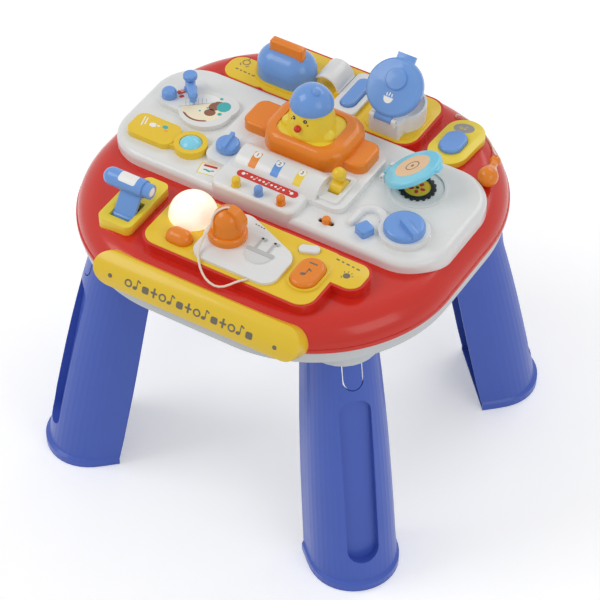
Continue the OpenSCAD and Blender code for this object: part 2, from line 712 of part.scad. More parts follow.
module speaker() color([0.20, 0.20, 0.21]) {
  translate([0, -110, floor_z + wall]) difference() {
    cylinder(r = 32, h = 4);
    translate([0, 0, -1]) cylinder(r1 = 27, r2 = 24, h = 6);
  }
  translate([0, -110, floor_z + wall + 3]) difference() {
    cylinder(r1 = 28, r2 = 17, h = 9);
    translate([0, 0, -0.5]) cylinder(r1 = 26, r2 = 12, h = 8);
  }
  translate([0, -110, floor_z + wall + 12]) cylinder(r = 17, h = 9);
}

module battery_tray() color([0.15, 0.15, 0.16]) difference() {
  slab(floor_z + wall, floor_z + wall + 19) rrect(-43, 69, 43, 127, 3);
  slab(floor_z, floor_z + wall + 17) rrect(-40, 72, 40, 124, 2);
}

module battery_cells() color([0.60, 0.62, 0.66]) for (y = [81, 98, 115]) {
  translate([-26, y, floor_z + wall + 8.8]) rotate([0, 90, 0]) cylinder(r = 7.1, h = 50);
  translate([24, y, floor_z + wall + 8.8]) rotate([0, 90, 0]) cylinder(r = 2.4, h = 1.4, $fn = 24);
}

module battery_door() color([0.78, 0.79, 0.80]) union() {
  slab(floor_z, floor_z + wall) rrect(-39.8, 72.2, 39.8, 123.8, 3.8);
  for (y = [81, 98, 115]) translate([-20, y - 1, floor_z + wall - 0.5]) cube([40, 2, 2.1]);
}

// cross-head screws: four into the housing posts
module screws() color([0.62, 0.63, 0.65]) for (p = [[-60, -36], [60, -36], [-60, 36], [60, 36]]) translate([p[0], p[1], 0]) difference() {
  union() {
    translate([0, 0, floor_z + 14]) cylinder(r = 1.5, h = 14, $fn = 24);
    translate([0, 0, floor_z + 26.6]) cylinder(r = 3, h = 2, $fn = 24);
  }
  for (a = [0, 90]) rotate(a) translate([-2, -0.4, floor_z + 27.8]) cube([4, 0.8, 2]);
}

// steel pins of the five hinges, each held in the fixed piece beside its lever or lid
module hinge_pins() color([0.70, 0.71, 0.73]) {
  roller_pin(pin_r, 37);
  gear_pin(pin_r, 24);
  pot_pin(pin_r, 36);
  peek_pin(pin_r, 29);
  page_pin(pin_r, 45);
}

module plug_cord() color([0.98, 0.92, 0.84])
  tube(smooth([for (p = plug_route) [p[0], p[1], front_z + p[2]]], 2), cord_r, 8);

module stick_cord() color([0.98, 0.92, 0.84])
  tube(smooth([for (p = stick_route) [p[0], p[1], lie_z(p, string_r) + p[2]]], 2), string_r, 8);

// ---------- pieces that move ----------

module toast() color([0.86, 0.45, 0.14]) slab(back_z + 1, back_z + 56) rrect(-121.5, 141, -74.5, 153, 2);

// lid of the pot, closed shape, hinged on the X axis at the front of the pot
module pot_lid_closed() {
  difference() {
    union() {
      translate([pot_at[0], pot_at[1], back_z + 25.5]) {
        rotate_extrude() edge_profile(lid_r, 9, 4);
        translate([-12, lid_r - 3, 0]) cube([24, 9, 6]);
        translate([0, 10, 8]) rotate_extrude() edge_profile(14, 4, 2);
      }
      translate([pot_at[0] - 11.5, pot_hinge_y, pot_pin_z]) rotate([0, 90, 0]) cylinder(r = 4, h = 23);
      translate([pot_at[0] - 11.5, pot_hinge_y, pot_pin_z]) cube([23, 8, 4]);
    }
    translate([pot_at[0], pot_at[1], back_z + 24]) cylinder(r = lid_r - 3, h = 8);
    pot_pin(pin_r + run_fit, 26);
  }
}

module pot_lid() color([0.45, 0.63, 0.86]) translate([0, pot_hinge_y, pot_pin_z]) rotate([lid_open, 0, 0])
  translate([0, -pot_hinge_y, -pot_pin_z]) pot_lid_closed();

// round lid beside the scalloped ring, closed shape, hinged on the Y axis
module peek_lid_closed() {
  difference() {
    union() {
      translate([lid_at[0], lid_at[1], deck_z + 3]) rotate_extrude() edge_profile(peek_r, 7, 3);
      translate([lid_at[0] + peek_r - 2, lid_at[1] - 5.5, deck_z + 3]) cube([6, 11, 4]);
      translate([peek_hinge_x, lid_at[1] + 7.7, peek_pin_z]) rotate([90, 0, 0]) cylinder(r = 3.5, h = 15.4);
      translate([peek_hinge_x, lid_at[1] - 7.7, deck_z + 4]) cube([6, 15.4, 5.5]);
    }
    translate([lid_at[0], lid_at[1], deck_z + 2]) cylinder(r = peek_r - 2.5, h = 6);
    peek_pin(pin_r + run_fit, 22);
  }
}

module peek_lid() color([0.50, 0.82, 0.93]) translate([peek_hinge_x, 0, peek_pin_z]) rotate([0, -peek_open, 0])
  translate([-peek_hinge_x, 0, -peek_pin_z]) peek_lid_closed();

module chick() color([0.91, 0.87, 0.27]) difference() {
  union() {
    slab(plate_z + 22, plate_z + 26) rrect(-40, 14, 36, 78, 18);
    translate([chick_at[0], chick_at[1], plate_z + 26]) cylinder(r1 = 31.5, r2 = 25, h = 34);
    for (s = [-1, 1]) translate([chick_at[0] + s * 27, 38, plate_z + 26]) intersection() {
      sphere(10);
      translate([-20, -20, -1]) cube(40);
    }
    // post that guides the press
    translate([chick_at[0], chick_at[1], plate_z - 6]) cylinder(r = 12 - btn_gap, h = 32);
  }
  translate([chick_at[0], chick_at[1], plate_z + 29]) cylinder(r1 = 28, r2 = 22.5, h = 32);
  translate([chick_at[0], chick_at[1], plate_z - 7]) cylinder(r = 9, h = 30);
}

module chick_cap() color([0.45, 0.63, 0.86]) translate([chick_at[0], chick_at[1], plate_z + 60]) {
  difference() {
    sphere(27);
    sphere(23);
    translate([0, 0, -50]) cube(100, center = true);
  }
  translate([8, -4, 24.5]) sphere(5.5);
}

module chick_beak() color([0.83, 0.12, 0.12]) {
  translate([-4, 15.6, plate_z + 42]) sphere(4.6);
  translate([-4, 17, plate_z + 42]) rotate([-90, 0, 0]) cylinder(r = 2.4, h = 4);
}

// console posts: domed pegs that press in
module post(x) translate([x, post_y, box_z - 2.5]) {
  stem(post_r, 0, 11, 1.2);
  intersection() {
    translate([0, 0, 11]) sphere(post_r);
    translate([0, 0, 10.5]) cylinder(r = post_r, h = 9);
  }
}

module post_yellow() color([0.92, 0.76, 0.22]) post(post_x[0]);
module post_blue() color([0.42, 0.60, 0.86]) post(post_x[1]);
module post_orange() color([0.90, 0.50, 0.22]) post(post_x[2]);

// small lever that tips forward and back in a sloping gate
module gear_lever() color([0.92, 0.76, 0.22]) difference() {
  translate([gear_at[0], gear_at[1], gear_pin_z]) {
    translate([-7.7, 0, 0]) rotate([0, 90, 0]) cylinder(r = 12, h = 15.4);
    translate([0, 0, 8]) cylinder(r = 4, h = 10);
    translate([0, 0, 16]) cylinder(r = 6, h = 6);
    translate([0, 0, 22]) sphere(9);
  }
  gear_pin(pin_r + run_fit, 18);
}

module pointer_knob() color([0.42, 0.60, 0.86]) translate([pointer_at[0], pointer_at[1], plate_z]) {
  translate([0, 0, box_z - plate_z + btn_gap]) rotate_extrude() edge_profile(15, 9, 4);
  translate([0, 0, 8]) rotate([0, 0, 97]) translate([-15, -2.5, 0]) cube([30, 5, 6]);
  stem(4, -2.5, 2);
}

module faucet() color([0.42, 0.60, 0.86]) translate([faucet_at[0], faucet_at[1], plate_z - 1]) {
  translate([0, 0, btn_gap]) cylinder(r = 8, h = 3);
  cylinder(r = 5, h = 2);
  translate([0, 0, 2]) cylinder(r = 6.5, h = 20);
  translate([0, 0, 20]) rotate_extrude() edge_profile(9, 6, 2.5);
  rotate([0, 0, -50]) {
    translate([0, 0, 12]) rotate([0, 90, 0]) cylinder(r = 6, h = 26);
    translate([26, 0, 12]) sphere(6);
    translate([26, 0, 4]) cylinder(r = 4.5, h = 8);
  }
  stem(5, deck_z - plate_z + 1, 1);
}

module tap_knob() color([0.42, 0.60, 0.86]) translate([tap_at[0], tap_at[1], plate_z - 1]) {
  translate([0, 0, btn_gap]) rotate_extrude() edge_profile(9.5, 11, 5);
  stem(4, deck_z - plate_z + 1, 1);
}

module dome_button() color([0.50, 0.80, 0.92]) translate([dome_at[0], dome_at[1], deck_z]) {
  stem(dome_r, 0, 9);
  intersection() {
    translate([0, 0, -1]) sphere(sqrt(dome_r * dome_r + 100));
    translate([0, 0, 8.5]) cylinder(r = dome_r, h = 20);
  }
}

// drum on an arm that tips back about a pin in the slot of its base
module roller_lever() color([0.45, 0.63, 0.86]) difference() {
  translate([roller_at[0], roller_at[1], roller_pin_z]) {
    translate([-14, 0, 0]) rotate([0, 90, 0]) cylinder(r = 5, h = 28);
    translate([-14, 0, 0]) rotate([52, 0, 0]) translate([0, 0, -2.5]) cube([28, 36, 5]);
    translate([-29.5, 24, 34]) {
      rotate([0, 90, 0]) cylinder(r = 11.5, h = 46);
      rotate([0, 90, 0]) cylinder(r = 9.5, h = 56);
      intersection() {
        sphere(11.5);
        translate([-20, -20, -20]) cube([21, 40, 40]);
      }
    }
  }
  roller_pin(pin_r + run_fit, 31);
}

module lamp_switch() color([0.90, 0.50, 0.16])
  push(switch_ends, switch_r, front_z - plate_t, front_z + switch_r + 1, switch_r - 1);

// bell-shaped toy plug that lifts out of its plate, with a fin on top where its string starts
module toy_plug() color([0.90, 0.50, 0.16]) translate([plug_at[0], plug_at[1], plug_z]) difference() {
  union() {
    rotate_extrude() edge_profile(plug_r, 10, 4);
    translate([0, 0, 9]) cylinder(r1 = 19.5, r2 = 18, h = 17);
    intersection() {
      translate([0, 0, 25]) sphere(18.05);
      translate([-30, -30, 25]) cube(60);
    }
    translate([4, 0, 25]) intersection() {
      rotate([90, 0, 0]) cylinder(r = 21.5, h = 13, center = true);
      translate([0, 0, 10]) cube([40, 40, 30], center = true);
      translate([0, -20, -1]) cube([30, 40, 30]);
    }
    translate([0, 0, -4]) cylinder(r = 14.5, h = 5);
  }
  translate([0, 0, -5]) cylinder(r = 11, h = 30);
}

module pill_button() color([0.95, 0.95, 0.95]) push(pill_ends, pill_r, front_z - plate_t, front_z + 4, 2);

module music_button() color([0.91, 0.53, 0.18]) push(music_ends, music_r, front_z - plate_t, front_z + 9, 5);

module slider_knob() color([0.90, 0.50, 0.22]) translate([slider_at[0], slider_at[1], deck_z]) {
  translate([0, 0, btn_gap]) rotate_extrude() edge_profile(5.5, 7, 3);
  stem(3.3, -wall, 1);
}

module square_button() color([0.45, 0.63, 0.86]) {
  slab(deck_z - wall - tuck - flange_t, deck_z + 10) square_outline(0);
  slab(deck_z - wall - tuck - flange_t, deck_z - wall - tuck) square_outline(2);
}

module big_dial() color([0.45, 0.63, 0.86]) translate([dial_at[0], dial_at[1], plate_z - 1]) {
  translate([0, 0, btn_gap]) rotate_extrude() edge_profile(dial_r, 9, 5);
  translate([0, 0, 6]) rotate([0, 0, -30]) translate([-4, -4, 0]) cube([dial_r + 6, 8, 9]);
  stem(5, deck_z - plate_z + 1, 1);
}

module back_button() color([0.45, 0.63, 0.86]) push(back_ends, 10, back_z, back_z + 9, 3);

module bean_button() color([0.45, 0.63, 0.86]) push(bean_ends, 15, cap_z, bean_z + 5, 3);

// curved page that lifts about a pin on its right edge
module page_flap() color([0.93, 0.92, 0.92]) difference() {
  union() {
    translate([page_at[0], page_at[1] + 20, page_pin_z]) rotate([90, 0, 0]) linear_extrude(40) difference() {
      circle(19);
      circle(16.5);
      translate([-30, -30]) square([60, 30]);
      rotate(138) square([30, 30]);
    }
    translate([page_at[0] + 18, page_at[1] + 20, page_pin_z]) rotate([90, 0, 0]) cylinder(r = 2.8, h = 40);
  }
  page_pin(pin_r + run_fit, 44);
}

// toy drumstick lying on the red top, with an eye for its string at the thin end
module drumstick() color([0.90, 0.50, 0.16]) {
  thin_at = [stick_at[0] + stick_len * cos(stick_dir), stick_at[1] + stick_len * sin(stick_dir)];
  z = lie_z(stick_at, 13) + btn_gap;
  drop = asin((z - lie_z(thin_at, 7) - btn_gap) / stick_len);
  translate([stick_at[0], stick_at[1], z]) rotate([0, drop, stick_dir]) difference() {
    rotate([0, 90, 0]) rotate_extrude() intersection() {
      union() {
        circle(13);
        polygon([[0, 0], [12.2, 3], [5, 26], [4.6, stick_len], [0, stick_len]]);
        translate([0, stick_len]) circle(7);
      }
      translate([0, -20]) square([30, 80]);
    }
    translate([stick_len + 1, 0, -9]) cylinder(r = string_r + 0.6, h = 18);
  }
}

top_cap();
housing();
deck();
front_bar();
leg_front_left();
leg_front_right();
leg_back_right();
leg_back_left();
front_panel();
back_panel();
bean_panel();
roller_base();
lamp_dome();
plug_plate();
console();
console_strip();
tub();
wash_base();
bottle();
toaster();
button_plate();
pot();
dial_base();
peek_ring();
peek_disc();
circuit_board();
speaker();
battery_tray();
battery_cells();
battery_door();
screws();
hinge_pins();
plug_cord();
stick_cord();
toast();
pot_lid();
peek_lid();
chick();
chick_cap();
chick_beak();
post_yellow();
post_blue();
post_orange();
gear_lever();
pointer_knob();
faucet();
tap_knob();
dome_button();
roller_lever();
lamp_switch();
toy_plug();
pill_button();
music_button();
slider_knob();
square_button();
big_dial();
back_button();
bean_button();
page_flap();
drumstick();
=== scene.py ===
"""Looks of the activity table: finishes, printed labels, rounded edges, strings, camera and light.

Metres, in the table's own frame.
"""
import json
import math

import bpy
from mathutils import Matrix, Vector


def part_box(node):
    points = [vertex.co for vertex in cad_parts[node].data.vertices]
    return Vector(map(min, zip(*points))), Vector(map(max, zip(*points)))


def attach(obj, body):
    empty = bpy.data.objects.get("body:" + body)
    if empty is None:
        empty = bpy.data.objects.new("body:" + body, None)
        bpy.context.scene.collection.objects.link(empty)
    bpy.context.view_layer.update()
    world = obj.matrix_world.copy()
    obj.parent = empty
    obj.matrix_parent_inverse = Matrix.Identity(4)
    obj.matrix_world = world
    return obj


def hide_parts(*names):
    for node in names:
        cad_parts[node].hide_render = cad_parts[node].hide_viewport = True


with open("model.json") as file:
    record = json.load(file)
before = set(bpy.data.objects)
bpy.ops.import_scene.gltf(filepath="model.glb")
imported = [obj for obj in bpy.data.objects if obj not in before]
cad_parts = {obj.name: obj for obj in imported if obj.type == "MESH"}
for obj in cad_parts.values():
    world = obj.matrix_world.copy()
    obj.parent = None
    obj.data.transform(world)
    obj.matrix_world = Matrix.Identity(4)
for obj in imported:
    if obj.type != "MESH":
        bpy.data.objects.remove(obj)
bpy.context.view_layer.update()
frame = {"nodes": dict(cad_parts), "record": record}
nodes = frame["nodes"]
MM = 0.001

# ---------- camera ----------

CAMERA_AT = Vector((1.3657, -2.2236, 2.7593))
CAMERA_TO = Vector((-0.0052, 0.0235, 0.1711))
camera = bpy.data.objects.new("camera", bpy.data.cameras.new("camera"))
bpy.context.scene.collection.objects.link(camera)
camera.location = CAMERA_AT
camera.rotation_euler = (CAMERA_TO - CAMERA_AT).to_track_quat("-Z", "Y").to_euler()
camera.data.lens = 173.4
camera.data.sensor_width = 36
bpy.context.scene.camera = camera

# ---------- levels read off the frame ----------


def top_of(node):
    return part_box(node)[1].z


FRONT_Z = top_of("plug_plate") - 0.0052
PLUG_Z = FRONT_Z + 0.004
DECK_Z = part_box("peek_disc")[0].z
PLATE_Z = DECK_Z + 0.008
BOX_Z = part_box("console_strip")[0].z
CAP_Z = DECK_Z - 0.017
BACK_Z = CAP_Z + 0.011
LIP_Z = CAP_Z - 0.033
BEAN_Z = CAP_Z + 0.008
RIM_R = 0.033
TOP_W = 0.476
STRIP_TOP_Z = BOX_Z + 0.001
PLUG_FACE_Z = PLUG_Z + 0.0012
DISC_TOP_Z = DECK_Z + 0.0015
POT_LID_Z = BACK_Z + 0.0345
PEEK_LID_Z = DECK_Z + 0.010
HUMP_R = 0.026
HUMP_AXIS = (-0.020, BOX_Z - 0.012)
DRUM_R = 0.0115
DRUM_Y = -0.146
DRUM_AXIS_Z = top_of("roller_lever") - DRUM_R


def deselect():
    for o in bpy.context.selected_objects:
        o.select_set(False)


def activate(obj):
    deselect()
    obj.select_set(True)
    bpy.context.view_layer.objects.active = obj
    return obj


# ---------- shader expressions ----------


def srgb(r, g, b):
    """A colour given as screen values from 0 to 255, in the linear light that shaders use."""
    def lin(v):
        v /= 255
        return v / 12.92 if v <= 0.04045 else ((v + 0.055) / 1.055) ** 2.4
    return (lin(r), lin(g), lin(b), 1.0)


class Sock:
    """A number socket that takes part in Python sums."""

    def __init__(self, shader, socket):
        self.shader = shader
        self.socket = socket

    def _math(self, operation, a, b=None):
        values = {0: a} if b is None else {0: a, 1: b}
        return self.shader.node("ShaderNodeMath", {"operation": operation}, values)

    def __add__(self, other):
        return self._math("ADD", self, other)

    def __radd__(self, other):
        return self._math("ADD", other, self)

    def __sub__(self, other):
        return self._math("SUBTRACT", self, other)

    def __rsub__(self, other):
        return self._math("SUBTRACT", other, self)

    def __mul__(self, other):
        return self._math("MULTIPLY", self, other)

    def __rmul__(self, other):
        return self._math("MULTIPLY", other, self)


class Shader:
    """A new material and the nodes that feed its Principled shader."""

    def __init__(self, name):
        self.material = bpy.data.materials.new(name)
        self.material.use_nodes = True
        self.tree = self.material.node_tree
        self.bsdf = next(n for n in self.tree.nodes if n.type == "BSDF_PRINCIPLED")

    def node(self, kind, settings, values, out=0):
        n = self.tree.nodes.new(kind)
        for key, value in settings.items():
            setattr(n, key, value)
        for key, value in values.items():
            self.feed(n.inputs[key], value)
        return Sock(self, n.outputs[out])

    def feed(self, target, value):
        if isinstance(value, Sock):
            self.tree.links.new(value.socket, target)
        else:
            target.default_value = value

    def place(self):
        """Object coordinates, which are metres in the table's frame."""
        return self.node("ShaderNodeTexCoord", {}, {}, "Object")

    def noise(self, scale, detail=2.0, rough=0.5):
        return self.node("ShaderNodeTexNoise", {}, {
            "Vector": self.place(), "Scale": scale, "Detail": detail, "Roughness": rough})

    def mix(self, factor, a, b):
        n = self.tree.nodes.new("ShaderNodeMix")
        n.data_type = "RGBA"
        self.feed(n.inputs[0], factor)
        self.feed(n.inputs[6], a)
        self.feed(n.inputs[7], b)
        return Sock(self, n.outputs[2])

    def bump(self, height, strength, distance):
        return self.node("ShaderNodeBump", {}, {"Height": height, "Strength": strength, "Distance": distance})

    def set(self, **values):
        for key, value in values.items():
            self.feed(self.bsdf.inputs[key.replace("_", " ")], value)
        return self.material


def shade(colour, k):
    return tuple(c * k for c in colour[:3]) + (1.0,)


def moulded(name, colour, rough=0.24, coat=0.5, grain=0.05, tint=0.05):
    """Moulded plastic: a faint flow in the colour, a skin that is not quite flat, and worn-soft gloss."""
    s = Shader(name)
    flow = s.noise(14.0, 3.0)
    skin = s.noise(420.0, 2.0)
    wipe = s.noise(38.0, 4.0, 0.6)
    body = s.mix(flow, shade(colour, 1 - tint), shade(colour, 1 + tint * 0.6))
    height = skin * 0.35 + wipe * 0.65
    return s.set(
        Base_Color=body,
        Roughness=rough - 0.05 + wipe * 0.1,
        Coat_Weight=coat,
        Coat_Roughness=0.08,
        Specular_IOR_Level=0.3,
        Normal=s.bump(height, grain, 0.0004),
    )


def satin(name, colour, rough=0.42, pebble=0.25):
    """Satin moulded plastic with the fine pebble of an etched mould."""
    s = Shader(name)
    pebbles = s.noise(1500.0, 1.0)
    flow = s.noise(10.0, 3.0)
    return s.set(
        Base_Color=s.mix(flow, shade(colour, 0.95), shade(colour, 1.03)),
        Roughness=rough - 0.05 + flow * 0.1,
        Normal=s.bump(pebbles, pebble, 0.0002),
    )


def printed(name, colour, rough=0.38):
    """Pad-printed ink or sticker face: flat colour with a light dot of the film's texture."""
    s = Shader(name)
    film = s.noise(900.0, 2.0)
    flow = s.noise(60.0, 2.0)
    return s.set(
        Base_Color=s.mix(flow, shade(colour, 0.96), shade(colour, 1.03)),
        Roughness=rough - 0.04 + flow * 0.08,
        Normal=s.bump(film, 0.08, 0.0002),
    )


def lit_dome():
    """The lamp: milky plastic glowing warm white, brightest in the middle."""
    s = Shader("lamp_milk")
    facing = s.node("ShaderNodeLayerWeight", {}, {"Blend": 0.35}, "Facing")
    milk = s.noise(40.0, 3.0)
    glow = s.mix(facing, (1.0, 0.97, 0.86, 1), (1.0, 0.9, 0.62, 1))
    return s.set(
        Base_Color=s.mix(milk, srgb(255, 252, 236), srgb(255, 247, 220)),
        Roughness=0.3 + milk * 0.06,
        Emission_Color=glow,
        Emission_Strength=0.42,
        Coat_Weight=0.3,
    )


def braided():
    """Thin cream string: short slanting strands along its length."""
    s = Shader("string_braid")
    strands = s.node("ShaderNodeTexWave", {"bands_direction": "DIAGONAL"}, {
        "Vector": s.place(), "Scale": 620.0, "Distortion": 1.5, "Detail": 1.0}, 1)
    return s.set(
        Base_Color=s.mix(strands, srgb(232, 210, 186), srgb(255, 246, 232)),
        Roughness=0.72 + strands * 0.1,
        Normal=s.bump(strands, 0.4, 0.0003),
    )


def turned_steel():
    s = Shader("pin_steel")
    lines = s.noise(900.0, 2.0)
    return s.set(
        Base_Color=srgb(190, 190, 190), Metallic=1.0, Roughness=0.28 + lines * 0.12,
        Normal=s.bump(lines, 0.1, 0.0001),
    )


def solder_board():
    s = Shader("board_green")
    tracks = s.node("ShaderNodeTexBrick", {}, {
        "Vector": s.place(), "Scale": 60.0, "Color1": srgb(20, 92, 46), "Color2": srgb(24, 104, 52),
        "Mortar": srgb(60, 150, 80), "Mortar Size": 0.02})
    return s.set(Base_Color=tracks, Roughness=0.35 + s.noise(200.0) * 0.1)


RED = srgb(212, 42, 28)
GREY = srgb(206, 210, 212)
WHITE = srgb(232, 233, 232)
YELLOW = srgb(240, 202, 50)
LEMON = srgb(244, 218, 66)
ORANGE = srgb(238, 134, 26)
SKY = srgb(112, 160, 228)
INDIGO = srgb(72, 100, 194)
CYAN = srgb(134, 218, 242)
BLACK = srgb(34, 32, 32)
INK = srgb(112, 104, 88)

red = moulded("red_plastic", RED, 0.24, 0.22)
housing_grey = satin("housing_grey", GREY)
white = moulded("white_plastic", WHITE, 0.26, 0.3)
yellow = moulded("yellow_plastic", YELLOW, 0.3, 0.2)
lemon = moulded("lemon_plastic", LEMON, 0.3, 0.2)
orange = moulded("orange_plastic", ORANGE, 0.26, 0.25)
sky = moulded("sky_plastic", SKY, 0.25, 0.3)
indigo = moulded("leg_indigo", INDIGO, 0.34, 0.15)
cyan = moulded("cyan_plastic", CYAN, 0.22, 0.35)
black = moulded("black_plastic", BLACK, 0.3, 0.4)
ink = printed("grey_ink", INK)
pale_ink = printed("pale_ink", srgb(190, 191, 190))
white_ink = printed("white_ink", srgb(245, 245, 243))
teal_ink = printed("teal_ink", srgb(60, 178, 180))
brown_ink = printed("brown_ink", srgb(142, 88, 60))
cream_ink = printed("cream_ink", srgb(248, 236, 206))
red_ink = printed("red_ink", srgb(208, 44, 36))
orange_ink = printed("orange_ink", srgb(236, 140, 44))
blue_ink = printed("blue_ink", srgb(92, 150, 224))
yellow_ink = printed("yellow_ink", srgb(240, 210, 60))
black_ink = printed("black_ink", srgb(40, 38, 38))
lamp_milk = lit_dome()
string_braid = braided()
pin_steel = turned_steel()
board_green = solder_board()
dark_plastic = satin("dark_plastic", srgb(40, 40, 42))
cell_sleeve = satin("cell_sleeve", srgb(150, 155, 162), 0.35, 0.1)

FINISH = {
    "red": red, "housing_grey": housing_grey, "white": white, "yellow": yellow, "lemon": lemon, "orange": orange,
    "light_blue": sky, "leg_blue": indigo, "cyan": cyan, "black": black, "lamp": lamp_milk, "string": string_braid,
    "steel": pin_steel, "board": board_green, "dark": dark_plastic, "cell": cell_sleeve,
}
SLOT_OF = {p["node"]: p["material_slot"] for p in frame["record"]["subparts"]}
BODY_OF = {n: body for body, names in frame["record"]["behaviour"]["bodies"].items() for n in names}


def paint(obj, material):
    obj.data.materials.clear()
    obj.data.materials.append(material)


for name, obj in nodes.items():
    paint(obj, FINISH[SLOT_OF[name]])
    activate(obj)
    bpy.ops.object.shade_smooth_by_angle(angle=math.radians(32))

# ---------- strings ----------

# the same points as in the part's source: x, y and height above the front plate, millimetres
PLUG_ROUTE = [
    (-1.3, -141, 48.8), (-4, -141, 48.8), (-8, -144, 48.4), (-12, -148.5, 46.5), (-15.5, -152.5, 42),
    (-16.5, -155.5, 37.5), (-16.5, -158.5, 32), (-17.5, -163, 24.5), (-20.5, -170.5, 14.5), (-19.5, -179.5, 9),
    (-15.5, -189.5, 6.2), (-6, -200.5, 0.6), (6, -208, -6), (20, -210, -9.5), (31.5, -207, -7.5), (42.5, -201, -0.6),
    (49, -196, 2.2), (52.5, -192.5, 2), (52.5, -190.35, 2)]
# x, y and height of the string's centre above where it would lie on the red top, millimetres
STICK_ROUTE = [
    (112, 204, -4), (112, 204, 1.2), (114, 205.5, 3), (118, 208.5, 2), (125, 210.5, 0.3), (135, 210, 0.3),
    (145, 207, 0.3), (155, 201.5, 0.3), (165, 194, 0.3), (174, 185, 0.5), (181, 176, 2), (186, 168.5, 6),
    (190, 162.5, 10.5), (193.5, 157.5, 13.5)]
PLUG_CORD_R = 0.0014
STICK_CORD_R = 0.0011
TOP_HALF = (0.246, 0.238)
TOP_CORNER = 0.187


def lie_z(x, y, r):
    """Height of the centre of a string of radius r that lies on the red top at x, y."""
    u = max(0.0, abs(x) - (TOP_HALF[0] - TOP_CORNER))
    v = max(0.0, abs(y) - (TOP_HALF[1] - TOP_CORNER))
    out = max(0.0, math.hypot(u, v) - (TOP_CORNER - RIM_R))
    return LIP_Z + math.sqrt((RIM_R + r) ** 2 - out ** 2)


def smooth_route(points, steps):
    """Points between the given ones on a smooth curve, as in the part's source."""
    out = []
    for i in range(len(points) - 1):
        a, b = points[max(i - 1, 0)], points[i]
        c, d = points[i + 1], points[min(i + 2, len(points) - 1)]
        for j in range(steps):
            t = j / steps
            out.append(0.5 * (2 * b + (c - a) * t + (2 * a - 5 * b + 4 * c - d) * t ** 2
                              + (3 * b - a - 3 * c + d) * t ** 3))
    return out + [points[-1]]


def string_piece(name, points, r, node):
    """A round string along points, closed at both ends, standing for its node."""
    path = smooth_route([Vector(p) for p in points], 2)
    curve = bpy.data.curves.new(name, "CURVE")
    curve.dimensions = "3D"
    curve.bevel_depth = r * 0.985
    curve.bevel_resolution = 3
    curve.resolution_u = 6
    curve.use_fill_caps = True
    line = curve.splines.new("POLY")
    line.points.add(len(path) - 1)
    for target, p in zip(line.points, path):
        target.co = (*p, 1)
    obj = bpy.data.objects.new(name, curve)
    bpy.context.collection.objects.link(obj)
    curve.materials.append(string_braid)
    length = sum((b - a).length for a, b in zip(path, path[1:]))
    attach(obj, BODY_OF[node])
    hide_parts(node)
    return obj


plug_points = [(x * MM, y * MM, FRONT_Z + z * MM) for x, y, z in PLUG_ROUTE]
stick_points = [(x * MM, y * MM, lie_z(x * MM, y * MM, STICK_CORD_R) + z * MM) for x, y, z in STICK_ROUTE]
string_piece("plug_string", plug_points, PLUG_CORD_R, "plug_cord")
string_piece("stick_string", stick_points, STICK_CORD_R, "stick_cord")

# ---------- softened edges ----------


MERGE = 2e-6


def soften(node, width, angle=40, segments=3):
    """A copy of a CAD piece with its sharp edges rounded, standing for the piece."""
    source = nodes[node]
    obj = bpy.data.objects.new(node + "_soft", source.data.copy())
    bpy.context.collection.objects.link(obj)
    activate(obj)
    bpy.ops.object.mode_set(mode="EDIT")
    bpy.ops.mesh.select_all(action="SELECT")
    bpy.ops.mesh.remove_doubles(threshold=MERGE)
    bpy.ops.mesh.dissolve_limited(angle_limit=math.radians(0.5))
    bpy.ops.object.mode_set(mode="OBJECT")
    bevel = obj.modifiers.new("round", "BEVEL")
    bevel.width = width
    bevel.segments = segments
    bevel.limit_method = "ANGLE"
    bevel.angle_limit = math.radians(angle)
    bevel.use_clamp_overlap = True
    bpy.ops.object.modifier_apply(modifier="round")
    bpy.ops.object.shade_smooth_by_angle(angle=math.radians(35))
    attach(obj, BODY_OF[node])
    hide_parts(node)
    return obj


for node, width in {
    "front_panel": 0.0012, "back_panel": 0.0012, "plug_plate": 0.0018, "bean_panel": 0.0015,
    "roller_base": 0.0015,
    "bottle": 0.003, "wash_base": 0.003, "button_plate": 0.0014, "pot": 0.0012, "dial_base": 0.0012, "console": 0.0015,
    "square_button": 0.0045, "toast": 0.0035, "front_bar": 0.003, "pointer_knob": 0.001, "big_dial": 0.0015,
    "roller_lever": 0.0012, "page_flap": 0.0006, "pot_lid": 0.001, "peek_lid": 0.001,
}.items():
    soften(node, width)

# ---------- flat prints, laid out in millimetres and then set on their surface ----------


def settle(obj):
    activate(obj)
    bpy.ops.object.transform_apply(location=True, rotation=True, scale=True)
    return obj


def spot(x, y, r, squeeze=1.0, turn=0.0, sides=36):
    """A flat disc or oval."""
    deselect()
    bpy.ops.mesh.primitive_circle_add(vertices=sides, radius=r * MM, fill_type="NGON")
    obj = bpy.context.object
    obj.scale.y = squeeze
    obj.rotation_euler.z = math.radians(turn)
    obj.location = (x * MM, y * MM, 0)
    return settle(obj)


def tile(x, y, length, width, corner=0.0, turn=0.0):
    """A flat rectangle with round corners."""
    deselect()
    bpy.ops.mesh.primitive_plane_add(size=MM)
    obj = bpy.context.object
    obj.scale = (length, width, 1)
    settle(obj)
    if corner:
        bpy.ops.object.mode_set(mode="EDIT")
        bpy.ops.mesh.select_all(action="SELECT")
        bpy.ops.mesh.bevel(
            offset=corner * MM, offset_type="OFFSET", segments=6, affect="VERTICES", clamp_overlap=True)
        bpy.ops.object.mode_set(mode="OBJECT")
    obj.rotation_euler.z = math.radians(turn)
    obj.location = (x * MM, y * MM, 0)
    return settle(obj)


